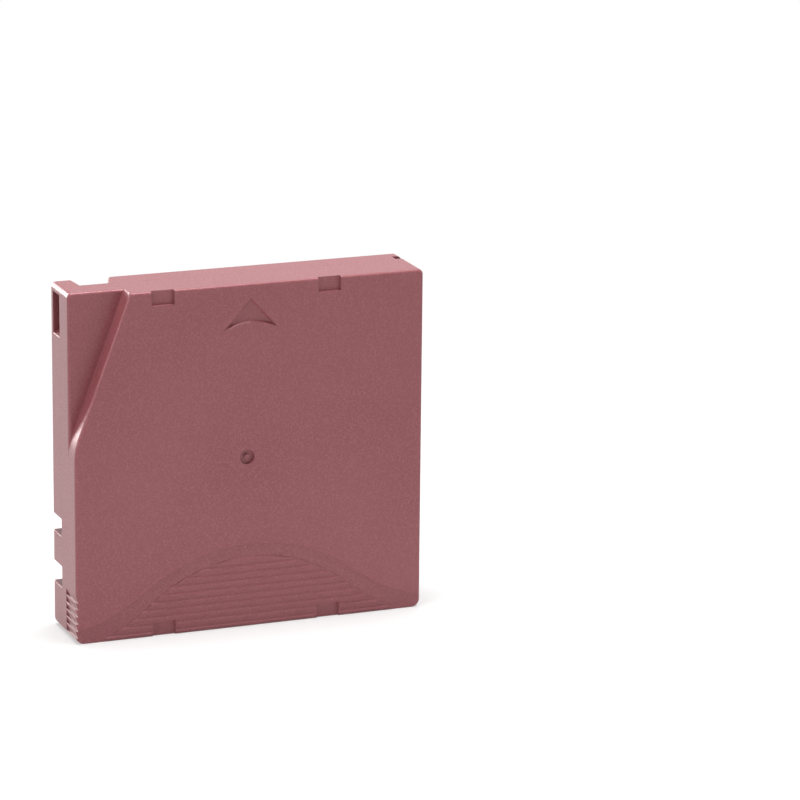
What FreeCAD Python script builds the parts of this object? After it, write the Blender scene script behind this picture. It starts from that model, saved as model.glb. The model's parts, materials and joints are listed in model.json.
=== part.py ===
"""Half-inch single-reel data tape cartridge, in millimetres.

The cartridge stands on its rear edge. X runs across its width, Z from the rear edge up to
the edge that goes into the drive first, and Y through its thickness. The upper shell's broad
face looks along -Y and the gear side of the lower shell along +Y. The origin is the middle
of the rear edge. "Height" below means height above the mid-plane, towards the upper shell's
face, so height = -y. The reel, brake and clutch turn about an axis along Y.
"""
import FreeCAD, Part
import math
import os
import Sketcher

# Driving dimensions. They go into the sheet under these names, and everything reads them there.
SIZES = {
    # case
    "case_width": 105.4,
    "case_length": 102.0,
    "lower_depth": 8.25,
    "wall": 2.0,
    "plate": 2.0,
    "rear_corner_radius": 2.5,
    "front_corner_radius": 1.5,
    "edge_radius": 0.8,
    "tongue_height": 1.0,
    "tongue_inset": 1.1,
    "fit_gap": 0.1,
    # insertion guide: the corner panel set below the face
    "guide_depth": 5.6,
    "guide_front_inset": 16.7,
    "guide_angle": 20.7,
    "guide_foot_radius": 21.0,
    # finger grip on the face
    "grip_depth": 0.45,
    "bell_top_z": 24.8,
    "bell_crown_radius": 50.0,
    "bell_flank_angle": 34.5,
    "bell_flank_length": 9.95,
    "bell_foot_radius": 40.5,
    "ridge_top_z": 20.9,
    "ridge_crown_radius": 46.0,
    "ridge_flank_angle": 38.0,
    "ridge_flank_length": 7.0,
    "ridge_foot_radius": 40.0,
    "ridge_edge_x": 44.0,
    "ridge_first_z": 20.2,
    "ridge_pitch": 2.13,
    "ridge_bevel": 0.55,
    # marks and pockets on the face
    "face_pocket_depth": 1.1,
    "face_pocket_width": 6.8,
    "face_pocket_height": 4.25,
    "face_pocket_left_x": 26.3,
    "face_pocket_right_x": 23.9,
    "arrow_tip_inset": 4.1,
    "arrow_base_inset": 13.3,
    "arrow_half_width": 8.2,
    "arrow_base_radius": 19.0,
    "arrow_wall_angle": 32.0,
    "arrow_depth": 0.8,
    "gate_radius": 2.2,
    "gate_depth": 0.9,
    "gate_nub_radius": 0.8,
    "gate_nub_height": 0.5,
    # saw-tooth grip on the left side
    "side_grip_first_z": 1.8,
    "side_grip_pitch": 2.14,
    "side_grip_rise": 1.9,
    "side_grip_depth": 0.6,
    "side_grip_height": 1.3,
    # notches of the lower shell
    "notch_depth": 2.6,
    "notch_skin": 1.5,
    "rear_notch_z": 13.3,
    "rear_notch_length": 6.4,
    "front_notch_z": 28.6,
    "front_notch_length": 5.3,
    "hook_low_inset": 14.5,
    "hook_high_inset": 2.2,
    "hook_depth": 6.5,
    "hook_floor": 2.15,
    "hook_ramp_run": 3.5,
    "hook_skin": 1.2,
    "slot_left_inset": 6.1,
    "slot_right_inset": 17.5,
    "slot_draft": 0.7,
    "slot_shoulder": 2.7,
    "slot_end_radius": 2.2,
    "slot_end_rise": 1.3,
    "slot_roof": 0.6,
    "slot_length": 5.6,
    "slot_skin": 1.5,
    "slot_mouth_radius": 0.8,
    # label recess on the rear edge
    "label_left_inset": 17.7,
    "label_right_inset": 6.7,
    "label_edge": 2.45,
    "label_depth": 0.5,
    # reel
    "reel_offset_x": 1.1,
    "reel_wall_gap": 0.5,
    "reel_seat_gap": 0.1,
    "reel_head_gap": 1.2,
    "reel_lift_gap": 0.15,
    "flange_thickness": 1.2,
    "hub_radius": 22.0,
    "hub_wall": 1.7,
    "tape_width": 12.65,
    "tape_side_gap": 0.1,
    "pack_rim": 1.65,
    "gear_opening_gap": 2.0,
    "seat_ring_width": 1.5,
    "seat_ring_height": 0.9,
    "web_thickness": 2.5,
    "web_drop": 1.2,
    # drive gear, leg holes and drive plate on the outside of the web
    "gear_rim": 2.2,
    "gear_width": 3.8,
    "gear_tooth_height": 1.0,
    "gear_tooth_width": 1.4,
    "tooth_end_gap": 0.2,
    "leg_radius": 1.75,
    "leg_clearance": 0.25,
    "leg_tip_inset": 0.1,
    "drive_plate_gap": 0.8,
    "drive_plate_hole_radius": 6.0,
    "drive_plate_thickness": 0.9,
    # brake and clutch inside the hub
    "brake_ring_gap": 1.0,
    "brake_ring_width": 2.5,
    "brake_tooth_height": 0.9,
    "brake_tooth_width": 1.9,
    "brake_root_gap": 0.95,
    "engage_ring_height": 2.0,
    "arm_slot_width": 7.0,
    "spider_thickness": 1.2,
    "spider_arm_width": 5.6,
    "spider_hub_radius": 8.5,
    "spider_gap": 0.1,
    "brake_disc_rim": 0.6,
    "brake_disc_thickness": 1.4,
    "brake_hub_radius": 6.6,
    "brake_hub_height": 7.0,
    "brake_slot_depth": 6.2,
    "brake_pip_width": 3.2,
    "brake_pip_gap": 0.05,
    "key_thickness": 1.5,
    "key_span": 10.0,
    "key_gap": 0.15,
    "key_engagement": 3.4,
    "brake_spring_radius": 8.3,
    "brake_spring_wire": 0.9,
    "brake_spring_turns": 3.5,
    # access door, its window and its spring
    "door_skin": 1.2,
    "door_gap": 0.15,
    "door_thickness": 1.5,
    "door_rear_overlap": 2.8,
    "door_front_overlap": 0.6,
    "door_travel": 18.4,
    "door_track_spare": 2.0,
    "door_track_end_gap": 0.2,
    "door_groove_depth": 0.6,
    "window_low_inset": 21.8,
    "window_high_inset": 3.7,
    "lug_y": 5.1,
    "lug_width": 2.4,
    "lug_length": 2.3,
    "lug_reach": 0.4,
    "lug_slot_width": 3.0,
    "seat_inset": 5.2,
    "seat_half_height": 1.6,
    "seat_length": 2.0,
    "door_spring_radius": 1.15,
    "door_spring_wire": 0.4,
    "door_spring_turns": 12.0,
    "door_spring_length": 39.4,
    "spring_stop_length": 1.6,
    "spring_peg_radius": 0.7,
    "spring_peg_length": 2.0,
    # leader pin, its clamp and its springs
    "pin_inset_x": 6.7,
    "pin_inset_z": 12.0,
    "pin_end_gap": 0.45,
    "pin_rim_radius": 2.1,
    "pin_rim_thickness": 0.6,
    "pin_neck_radius": 1.15,
    "pin_neck_length": 0.85,
    "clamp_radius": 2.0,
    "clamp_mouth": 1.3,
    "leaf_thickness": 0.25,
    "leaf_gap": 0.04,
    "leaf_height": 1.3,
    "leaf_mouth_angle": 42.0,
    "leaf_lip": 1.4,
    "leaf_tail": 2.6,
    "post_width": 1.6,
    "post_depth": 0.9,
    "strip_thickness": 0.12,
    # write-protect slider
    "protect_window_low_inset": 3.3,
    "protect_window_high_inset": 9.8,
    "protect_window_half_height": 2.4,
    "protect_window_rise": 3.3,
    "slider_inset": 2.3,
    "slider_length": 9.0,
    "slider_half_height": 3.05,
    "slider_thickness": 1.2,
    "slider_tab_place": 1.3,
    "slider_tab_width": 2.4,
    "slider_tab_inset": 0.5,
    "rail_inset": 15.2,
    "rail_depth": 2.7,
    "rail_lip": 1.3,
    # memory board in the rear right corner
    "board_inset": 26.7,
    "board_length": 15.0,
    "board_width": 8.2,
    "board_thickness": 0.5,
    "gusset_height": 6.3,
    "board_margin": 0.25,
    "keeper_rise": 1.6,
    "gusset_thickness": 1.2,
    "chip_side": 3.4,
    "chip_thickness": 0.6,
    # screws and locating holes
    "boss_radius": 3.6,
    "screw_head_radius": 2.6,
    "screw_head_height": 1.8,
    "screw_shank_radius": 1.25,
    "screw_length": 10.0,
    "screw_head_recess": 0.8,
    "screw_clearance": 0.15,
    "rear_left_screw_inset": 8.2,
    "rear_left_screw_z": 10.5,
    "rear_right_screw_inset": 7.2,
    "rear_right_screw_z": 15.3,
    "front_left_screw_inset": 9.9,
    "front_left_screw_drop": 12.8,
    "front_right_screw_inset": 15.2,
    "front_right_screw_drop": 5.6,
    "locating_radius": 2.2,
    "locating_wall": 1.2,
    "locating_depth": 5.0,
    "locating_round_inset": 16.2,
    "locating_slot_inset": 6.7,
    "locating_z": 8.0,
    "locating_slot_length": 6.0,
}

RIDGES = 10
SIDE_GRIP_TEETH = 6
GEAR_TEETH = 60
CLUTCH_LEGS = 3
DRIVE_SECTOR = 17  # drive teeth between two clutch legs, of the 20 a full sector would hold
BRAKE_TEETH = 36
ENGAGE_SECTOR = 8  # brake teeth between two clutch arms, of the 12 a full sector would hold
SCREW_NAMES = ("front_left", "front_right", "rear_left", "rear_right")
BEYOND = 1.0  # how far a cutter runs past the surface it opens
COIL_STEPS = 8  # straight pieces in one turn of a spring
WIRE_SIDES = 4
SCREW_SIDES = 12

PLAN, SIDE, TURNED = "XZ_Plane", "YZ_Plane", "XY_Plane"


# ---- sizes that carry their sheet expression -------------------------------------------------


class Size:
    """A value together with the expression that gives it in the document."""

    def __init__(self, value, text):
        self.value = value
        self.text = text

    def __add__(self, other):
        other = as_size(other)
        return Size(self.value + other.value, f"({self.text} + {other.text})")

    def __sub__(self, other):
        other = as_size(other)
        return Size(self.value - other.value, f"({self.text} - {other.text})")

    def __mul__(self, other):
        other = as_size(other)
        return Size(self.value * other.value, f"({self.text} * {other.text})")

    def __truediv__(self, other):
        other = as_size(other)
        return Size(self.value / other.value, f"({self.text} / {other.text})")

    def __neg__(self):
        return Size(-self.value, f"(-1 * {self.text})")

    def __radd__(self, other):
        return as_size(other) + self

    def __rsub__(self, other):
        return as_size(other) - self

    def __rmul__(self, other):
        return as_size(other) * self


def as_size(number):
    return number if isinstance(number, Size) else Size(float(number), f"({float(number)!r})")


def sine(angle):
    return Size(math.sin(math.radians(angle.value)), f"sin({angle.text})")


def cosine(angle):
    return Size(math.cos(math.radians(angle.value)), f"cos({angle.text})")


def root(square):
    return Size(math.sqrt(square.value), f"sqrt({square.text})")


def smaller(first, second):
    return Size(min(first.value, second.value), f"min({first.text}; {second.text})")


class Sizes:
    """The sheet's cells as attributes, and the levels worked out from them."""

    def __init__(self, doc):
        sheet = doc.addObject("Spreadsheet::Sheet", "Sizes")
        for row, (name, value) in enumerate(SIZES.items(), start=1):
            sheet.set(f"A{row}", name)
            sheet.set(f"B{row}", str(value))
            sheet.setAlias(f"B{row}", name)
            setattr(self, name, Size(float(value), f"Sizes.{name}"))
        doc.recompute()


def case_levels(s):
    """Widths and heights of the case; the tape and what lies round it set its thickness."""
    reel = s.flange_thickness * 2 + s.tape_side_gap * 2 + s.tape_width
    inside = s.seat_ring_height + s.reel_lift_gap + reel + s.reel_head_gap
    s.half_width = s.case_width / 2
    s.face = inside / 2 + s.plate
    s.seam = s.lower_depth - s.face
    s.panel = s.face - s.guide_depth
    s.ceiling = s.face - s.plate
    s.floor = s.plate - s.face
    s.inner_right = s.half_width - s.wall
    s.inner_top = s.case_length - s.wall


def side_places(s):
    """Places counted in from the side edges."""
    for name in ("guide_front", "slot_left", "slot_right", "label_left",
                 "label_right", "protect_window_low", "protect_window_high", "locating_round",
                 "locating_slot", "rear_left_screw", "rear_right_screw", "front_left_screw",
                 "front_right_screw"):
        setattr(s, name + "_x", s.half_width - getattr(s, name + "_inset"))
    s.slider_low_x = s.half_width - s.slider_inset
    s.slider_tab_x = s.slider_low_x - s.slider_tab_place
    s.rail_high_x = s.half_width - s.rail_inset
    s.board_low_x = s.half_width - s.board_inset
    s.pin_x = s.half_width - s.pin_inset_x
    s.protect_window_height = s.seam + s.protect_window_rise


def front_places(s):
    """Places counted back from the front edge."""
    for name in ("front_left_screw", "front_right_screw"):
        setattr(s, name + "_z", s.case_length - getattr(s, name + "_drop"))
    for name in ("arrow_tip", "arrow_base", "hook_low", "hook_high", "window_low", "window_high"):
        setattr(s, name + "_z", s.case_length - getattr(s, name + "_inset"))
    s.pin_z = s.case_length - s.pin_inset_z
    s.pin_half_length = s.ceiling - s.pin_end_gap


def door_levels(s):
    s.track_x = s.half_width - s.door_skin
    s.door_outer_x = s.track_x - s.door_gap
    s.door_inner_x = s.door_outer_x - s.door_thickness
    s.seat_inner_x = s.half_width - s.seat_inset
    s.door_spring_x = (s.seat_inner_x + s.door_inner_x) / 2
    s.door_low_z = s.window_low_z - s.door_rear_overlap
    s.door_high_z = s.window_high_z + s.door_front_overlap
    s.door_track_low_z = s.door_low_z - s.door_travel - s.door_track_spare
    s.spring_stop_z = s.door_low_z - s.door_spring_length


def reel_levels(s):
    s.reel_centre_z = s.case_length / 2
    s.flange_radius = smaller(
        s.reel_centre_z - s.wall - s.reel_wall_gap, s.seat_inner_x + s.reel_offset_x - s.reel_seat_gap
    )
    s.pack_radius = s.flange_radius - s.pack_rim
    s.flange_under = s.floor + s.seat_ring_height + s.reel_lift_gap
    s.tape_low = s.flange_under + s.flange_thickness + s.tape_side_gap
    s.tape_high = s.tape_low + s.tape_width
    s.upper_flange_low = s.tape_high + s.tape_side_gap
    s.upper_flange_high = s.upper_flange_low + s.flange_thickness
    s.hub_inner_radius = s.hub_radius - s.hub_wall
    s.gear_opening_radius = s.hub_radius + s.gear_opening_gap
    s.web_outer = s.flange_under - s.web_drop
    s.web_inner = s.web_outer + s.web_thickness


def gear_levels(s):
    """The drive gear, and the brake and clutch inside it."""
    s.gear_outer_radius = s.hub_radius - s.gear_rim
    s.gear_inner_radius = s.gear_outer_radius - s.gear_width
    s.leg_circle_radius = s.gear_outer_radius - s.gear_width / 2
    s.gear_tip = s.web_outer - s.gear_tooth_height
    s.drive_plate_radius = s.gear_inner_radius - s.drive_plate_gap
    s.brake_ring_outer_radius = s.gear_inner_radius - s.brake_ring_gap
    s.brake_ring_inner_radius = s.brake_ring_outer_radius - s.brake_ring_width
    s.brake_disc_radius = s.brake_ring_outer_radius + s.brake_disc_rim
    s.engage_root = s.web_inner + s.engage_ring_height
    s.brake_root = s.engage_root + s.brake_root_gap
    s.brake_disc_high = s.brake_root + s.brake_disc_thickness
    s.brake_top = s.brake_disc_high + s.brake_hub_height
    s.spider_low = s.web_inner + s.spider_gap
    s.spider_high = s.spider_low + s.spider_thickness


# ---- drawing and feature helpers -------------------------------------------------------------


def bind(feature, prop, size):
    feature.setExpression(prop, as_size(size).text)


def origin_feature(body, role):
    return next(f for f in body.Origin.OriginFeatures if f.Role == role)


def new_body(doc, label, x=None, z=None):
    body = doc.addObject("PartDesign::Body", label)
    body.Label = label
    if x is not None:
        bind(body, "Placement.Base.x", x)
    if z is not None:
        bind(body, "Placement.Base.z", z)
    return body


def sketch_on(body, name, plane, offset, turned=0.0):
    """A sketch parallel to an origin plane, moved along its normal, then turned about its x axis."""
    sketch = body.newObject("Sketcher::SketchObject", name)
    sketch.AttachmentSupport = (origin_feature(body, plane), [""])
    sketch.MapMode = "FlatFace"
    if turned:
        sketch.AttachmentOffset = FreeCAD.Placement(
            FreeCAD.Vector(), FreeCAD.Rotation(FreeCAD.Vector(1, 0, 0), turned)
        )
        bind(sketch, "AttachmentOffset.Base.y", -offset * sine(as_size(turned)))
        offset = offset * cosine(as_size(turned))
    bind(sketch, "AttachmentOffset.Base.z", offset)
    return sketch


def hold_point(sketch, geometry, point, across, up):
    for kind, size in (("DistanceX", as_size(across)), ("DistanceY", as_size(up))):
        index = sketch.addConstraint(Sketcher.Constraint(kind, -1, 1, geometry, point, size.value))
        sketch.setExpression(f"Constraints[{index}]", size.text)


def hold_radius(sketch, geometry, radius):
    index = sketch.addConstraint(Sketcher.Constraint("Radius", geometry, radius.value))
    sketch.setExpression(f"Constraints[{index}]", radius.text)


def arc_between(start, end, radius, centre_on_left):
    """The minor arc from start to end, as a curve that runs anticlockwise."""
    chord = end - start
    middle = (start + end) * 0.5
    left = FreeCAD.Vector(-chord.y, chord.x, 0).normalize()
    rise = math.sqrt(max(radius**2 - (chord.Length / 2) ** 2, 0))
    centre = middle + left * (rise if centre_on_left else -rise)
    first, last = (start, end) if centre_on_left else (end, start)
    circle = Part.Circle(centre, FreeCAD.Vector(0, 0, 1), radius)
    angles = [math.atan2(p.y - centre.y, p.x - centre.x) for p in (first, last)]
    return Part.ArcOfCircle(circle, *angles)


def polygon(corners):
    """Draws a closed outline. A corner is (x, y), or (x, y, radius) where an arc leads on.

    A negative radius bends the arc to the right of the way round.
    """

    def draw(sketch):
        base = sketch.GeometryCount
        count = len(corners)
        points = [FreeCAD.Vector(as_size(c[0]).value, as_size(c[1]).value, 0) for c in corners]
        ends = []
        for index, corner in enumerate(corners):
            start, end = points[index], points[(index + 1) % count]
            if len(corner) == 2:
                sketch.addGeometry(Part.LineSegment(start, end), False)
                ends.append((1, 2))
                continue
            radius = corner[2]
            left = radius.value > 0
            sketch.addGeometry(arc_between(start, end, abs(radius.value), left), False)
            ends.append((1, 2) if left else (2, 1))
        for index, corner in enumerate(corners):
            after = (index + 1) % count
            sketch.addConstraint(
                Sketcher.Constraint("Coincident", base + index, ends[index][1], base + after, ends[after][0])
            )
            hold_point(sketch, base + index, ends[index][0], corner[0], corner[1])
            if len(corner) == 3:
                hold_radius(sketch, base + index, corner[2] if corner[2].value > 0 else -corner[2])

    return draw


def rectangle(left, low, right, high):
    return polygon([(left, low), (right, low), (right, high), (left, high)])


def cross(x, y, half, thin):
    """A plus sign with arms of this reach and half thickness."""
    corners = [(half, thin), (thin, thin), (thin, half), (-thin, half), (-thin, thin), (-half, thin)]
    corners += [(-across, -up) for across, up in corners]
    return polygon([(x + across, y + up) for across, up in corners])


def disc(x, y, radius):
    def draw(sketch):
        index = sketch.GeometryCount
        centre = FreeCAD.Vector(as_size(x).value, as_size(y).value, 0)
        sketch.addGeometry(Part.Circle(centre, FreeCAD.Vector(0, 0, 1), radius.value), False)
        hold_point(sketch, index, 3, x, y)
        hold_radius(sketch, index, radius)

    return draw


def many_sided(x, y, radius):
    """A disc drawn with straight sides, for what is small and repeated."""
    angles = [as_size(360 / SCREW_SIDES * side) for side in range(SCREW_SIDES)]
    return polygon([(x + radius * cosine(angle), y + radius * sine(angle)) for angle in angles])


def drawn_sketch(body, name, plane, offset, shapes, turned=0.0):
    sketch = sketch_on(body, name, plane, offset, turned)
    for draw in shapes:
        draw(sketch)
    return sketch


def add(body, name, plane, shapes, low, high, turned=0.0):
    """Adds the outline as a prism from level low to level high along the plane's normal."""
    sketch = drawn_sketch(body, name + "_sketch", plane, low, shapes, turned)
    pad = body.newObject("PartDesign::Pad", name)
    pad.Profile = sketch
    bind(pad, "Length", as_size(high) - low)
    return pad


def cut(body, name, plane, shapes, low, high):
    """Cuts the outline as a prism between the two levels."""
    sketch = drawn_sketch(body, name + "_sketch", plane, high, shapes)
    pocket = body.newObject("PartDesign::Pocket", name)
    pocket.Profile = sketch
    bind(pocket, "Length", as_size(high) - low)
    return pocket


def turn(body, name, shapes):
    """Revolves a profile of (radius, y) corners about the body's Y axis."""
    sketch = drawn_sketch(body, name + "_sketch", TURNED, 0, shapes)
    revolution = body.newObject("PartDesign::Revolution", name)
    revolution.Profile = sketch
    revolution.ReferenceAxis = (sketch, ["V_Axis"])
    revolution.Angle = 360.0
    return revolution


def repeat_round(body, name, feature, count):
    pattern = body.newObject("PartDesign::PolarPattern", name)
    pattern.Originals = [feature]
    pattern.Axis = (origin_feature(body, "Y_Axis"), [""])
    pattern.Angle = 360.0
    pattern.Occurrences = count
    body.Tip = pattern
    return pattern


def repeat_sectors(body, name, feature, pitch, count, sectors):
    """Repeats a feature count times at this pitch, and that run once in every sector."""
    repeated = body.newObject("PartDesign::MultiTransform", name)
    steps = []
    for step, angle, occurrences in (("run", pitch * (count - 1), count), ("sectors", 360.0, sectors)):
        pattern = body.newObject("PartDesign::PolarPattern", f"{name}_{step}")
        pattern.Axis = (origin_feature(body, "Y_Axis"), [""])
        pattern.Angle = angle
        pattern.Occurrences = occurrences
        steps.append(pattern)
    repeated.Originals = [feature]
    repeated.Transformations = steps
    body.Tip = repeated
    return repeated


def repeat_up(body, name, feature, count, pitch):
    pattern = body.newObject("PartDesign::LinearPattern", name)
    pattern.Originals = [feature]
    pattern.Direction = (origin_feature(body, "Z_Axis"), [""])
    pattern.Occurrences = count
    bind(pattern, "Length", pitch * (count - 1))
    body.Tip = pattern
    return pattern


def dress_edges(body, kind, name, size, wanted):
    """Rounds or bevels the edges of the body's tip for which wanted(edge) is true."""
    body.Document.recompute()
    base = body.Tip
    names = [f"Edge{i}" for i, edge in enumerate(base.Shape.Edges, start=1) if wanted(edge)]
    dressed = body.newObject("PartDesign::" + kind, name)
    dressed.Base = (base, names)
    bind(dressed, "Radius" if kind == "Fillet" else "Size", size)
    return dressed


def at_height(height):
    """Edges that lie wholly at this height above the mid-plane."""
    return lambda edge: all(abs(v.Point.y + height.value) < 1e-4 for v in edge.Vertexes)


def upright_at(x, z):
    """Edges along Y at this place in the plan."""

    def wanted(edge):
        return all(
            abs(v.Point.x - as_size(x).value) < 1e-4 and abs(v.Point.z - as_size(z).value) < 1e-4
            for v in edge.Vertexes
        )

    return wanted


# ---- outlines that several pieces share ------------------------------------------------------


def case_plan(s, inset=0.0):
    return rectangle(-s.half_width + inset, as_size(inset), s.half_width - inset, s.case_length - inset)


def raised_plan(s, inset=0.0):
    """The full-height part of the upper shell: the case less the insertion guide's corner.

    The guide's wall runs straight back from the front edge and ends in an arc along the side.
    """
    inset = as_size(inset)
    turned = s.guide_angle
    lean = sine(turned) / cosine(turned)
    radius = s.guide_foot_radius
    straight_run = (s.guide_front_inset - radius * (1 - cosine(turned))) / lean
    foot_z = s.case_length - straight_run - radius * sine(turned)
    reach = radius - inset
    return polygon([
        (-s.half_width + inset, inset),
        (s.half_width - inset, inset),
        (s.half_width - inset, s.case_length - inset),
        (inset / cosine(turned) - s.guide_front_x - inset * lean, s.case_length - inset),
        (radius - s.half_width - reach * cosine(turned), foot_z + reach * sine(turned), reach),
        (-s.half_width + inset, foot_z),
    ])


def bell(top, crown, angle, flank, foot, edge_x, low):
    """A bell outline: a crown arc, straight flanks and hollow feet, closed along z = low."""
    crown_x = crown * sine(angle)
    crown_z = top - crown + crown * cosine(angle)
    flank_x = crown_x + flank * cosine(angle)
    flank_z = crown_z - flank * sine(angle)
    foot_sine = sine(angle) - (edge_x - flank_x) / foot
    foot_z = flank_z - foot * (root(1 - foot_sine * foot_sine) - cosine(angle))
    return polygon([
        (-edge_x, low),
        (edge_x, low),
        (edge_x, foot_z, -foot),
        (flank_x, flank_z),
        (crown_x, crown_z, crown),
        (-crown_x, crown_z),
        (-flank_x, flank_z, -foot),
        (-edge_x, foot_z),
    ])


def locating_slot(s, radius):
    """The oblong locating hole, rounded at both ends, with this radius."""
    reach = s.locating_slot_length / 2 - s.locating_radius
    left, right = s.locating_slot_x - reach, s.locating_slot_x + reach
    middle = s.locating_z
    return polygon([
        (left, middle - radius),
        (right, middle - radius, radius),
        (right + radius, middle, radius),
        (right, middle + radius),
        (left, middle + radius, radius),
        (left - radius, middle, radius),
    ])


def screw_places(s):
    return {
        "front_left": (-s.front_left_screw_x, s.front_left_screw_z),
        "front_right": (s.front_right_screw_x, s.front_right_screw_z),
        "rear_left": (-s.rear_left_screw_x, s.rear_left_screw_z),
        "rear_right": (s.rear_right_screw_x, s.rear_right_screw_z),
    }


# ---- upper shell -----------------------------------------------------------------------------


def round_uprights(body, s, rear_sides, front_sides):
    """Rounds the case's upright corners on the given sides, -1 for the left and 1 for the right."""
    rear = [upright_at(side * s.half_width, 0) for side in rear_sides]
    front = [upright_at(side * s.half_width, s.case_length) for side in front_sides]
    if rear:
        dress_edges(body, "Fillet", "rear_corners", s.rear_corner_radius, lambda e: any(f(e) for f in rear))
    dress_edges(body, "Fillet", "front_corners", s.front_corner_radius, lambda e: any(f(e) for f in front))


def face_pockets(s):
    """Four shallow pockets, two at the front edge of the face and two at the rear."""
    lefts = (-s.face_pocket_left_x - s.face_pocket_width / 2, s.face_pocket_right_x - s.face_pocket_width / 2)
    shapes = []
    for left in lefts:
        right = left + s.face_pocket_width
        shapes.append(rectangle(left, as_size(-BEYOND), right, s.face_pocket_height))
        shapes.append(
            rectangle(left, s.case_length - s.face_pocket_height, right, s.case_length + BEYOND)
        )
    return shapes


def upper_outside(body, s):
    """The guide's deck is rounded all round before the raised part covers most of it."""
    add(body, "deck", PLAN, [case_plan(s)], s.seam, s.panel)
    round_uprights(body, s, (), (-1,))
    dress_edges(body, "Fillet", "panel_edges", s.edge_radius, at_height(s.panel))
    add(body, "raised", PLAN, [raised_plan(s)], s.seam, s.face)
    round_uprights(body, s, (-1, 1), (1,))
    dress_edges(body, "Fillet", "face_edges", s.edge_radius, at_height(s.face))


def upper_hollow(body, s):
    cut(body, "cavity", PLAN, [case_plan(s, s.wall)], s.seam, s.panel - s.plate)
    cut(body, "raised_cavity", PLAN, [raised_plan(s, s.wall)], s.panel - s.plate, s.ceiling)
    rebate = case_plan(s, s.tongue_inset - s.fit_gap)
    cut(body, "seam_rebate", PLAN, [rebate], s.seam, s.seam + s.tongue_height + s.fit_gap)


def upper_reel_boss(body, s):
    """The cross key that stops the brake turning."""
    x, z = -s.reel_offset_x, s.reel_centre_z
    key = cross(x, z, s.key_span / 2, s.key_thickness / 2)
    add(body, "brake_key", PLAN, [key], s.brake_top - s.key_engagement, s.ceiling)


def screw_seat(s):
    return s.screw_head_recess + s.screw_head_height - s.face


def at_screws(s, radius, names=SCREW_NAMES, draw=disc):
    """A disc of this radius at each of the named screws."""
    places = screw_places(s)
    return [draw(*places[name], radius) for name in names]


def upper_screw_bosses(body, s):
    under_guide, under_face = SCREW_NAMES[:1], SCREW_NAMES[1:]
    add(body, "guide_boss", PLAN, at_screws(s, s.boss_radius, under_guide), s.seam, s.panel - s.plate)
    add(body, "face_bosses", PLAN, at_screws(s, s.boss_radius, under_face), s.seam, s.ceiling)
    pilots = at_screws(s, s.screw_shank_radius + s.fit_gap / 4, draw=many_sided)
    cut(body, "pilots", PLAN, pilots, s.seam, screw_seat(s) + s.screw_length + s.screw_clearance)


def slider_levels(s):
    """The write-protect slider's lower and upper edge."""
    return s.protect_window_height - s.slider_half_height, s.protect_window_height + s.slider_half_height


def rail_plans(s):
    """The slider's rail beside the rear wall, and the lip that holds it from behind."""
    lip = s.wall + s.slider_thickness + s.fit_gap * 2
    rail = rectangle(-s.inner_right, s.wall, -s.rail_high_x, s.wall + s.rail_depth)
    return rail, rectangle(-s.inner_right, lip, -s.rail_high_x, s.wall + s.rail_depth)


def upper_slider_rail(body, s):
    high = slider_levels(s)[1] + s.fit_gap
    rail, lip = rail_plans(s)
    add(body, "upper_rail", PLAN, [rail], high, s.ceiling)
    add(body, "upper_rail_lip", PLAN, [lip], high - s.rail_lip, high)
    window = rectangle(-s.protect_window_low_x, as_size(-BEYOND), -s.protect_window_high_x, s.wall)
    middle, half = s.protect_window_height, s.protect_window_half_height
    cut(body, "protect_window", PLAN, [window], middle - half, middle + half)


def door_window(s):
    return rectangle(s.door_inner_x - BEYOND, s.window_low_z, s.half_width + BEYOND, s.window_high_z)


def door_track(s):
    """The track beside the right wall, which the door's edges run in."""
    return rectangle(
        s.door_inner_x - s.door_gap, s.door_track_low_z, s.track_x, s.door_high_z + s.door_track_end_gap
    )


def leaf_posts(s):
    """Two small posts that hold the tail of a pin spring."""
    outer = s.pin_rim_radius + s.leaf_gap + s.leaf_thickness
    left = s.pin_x - outer - s.leaf_tail
    near = s.leaf_thickness / 2 + s.leaf_gap
    far = near + s.post_depth
    return [
        rectangle(left, s.pin_z + near, left + s.post_width, s.pin_z + far),
        rectangle(left, s.pin_z - far, left + s.post_width, s.pin_z - near),
    ]


def upper_door_parts(body, s):
    cut(body, "window", PLAN, [door_window(s)], s.seam, s.ceiling)
    cut(body, "track", PLAN, [door_track(s)], s.seam, s.ceiling + s.door_groove_depth)
    add(body, "leaf_posts", PLAN, leaf_posts(s), s.ceiling - s.leaf_height, s.ceiling)


def hook_roof(body, s):
    """Closes the hook pocket of the lower shell from above."""
    inner = s.hook_depth + s.hook_skin - s.half_width
    plan = rectangle(-s.inner_right, s.hook_low_z - s.hook_skin, inner, s.inner_top)
    add(body, "hook_roof", PLAN, [plan], s.seam, s.seam + s.hook_skin)


def label_recess(body, s, low, high):
    plan = rectangle(-s.label_left_x, as_size(-BEYOND), s.label_right_x, s.label_depth)
    cut(body, "label_recess", PLAN, [plan], low, high)


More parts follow.
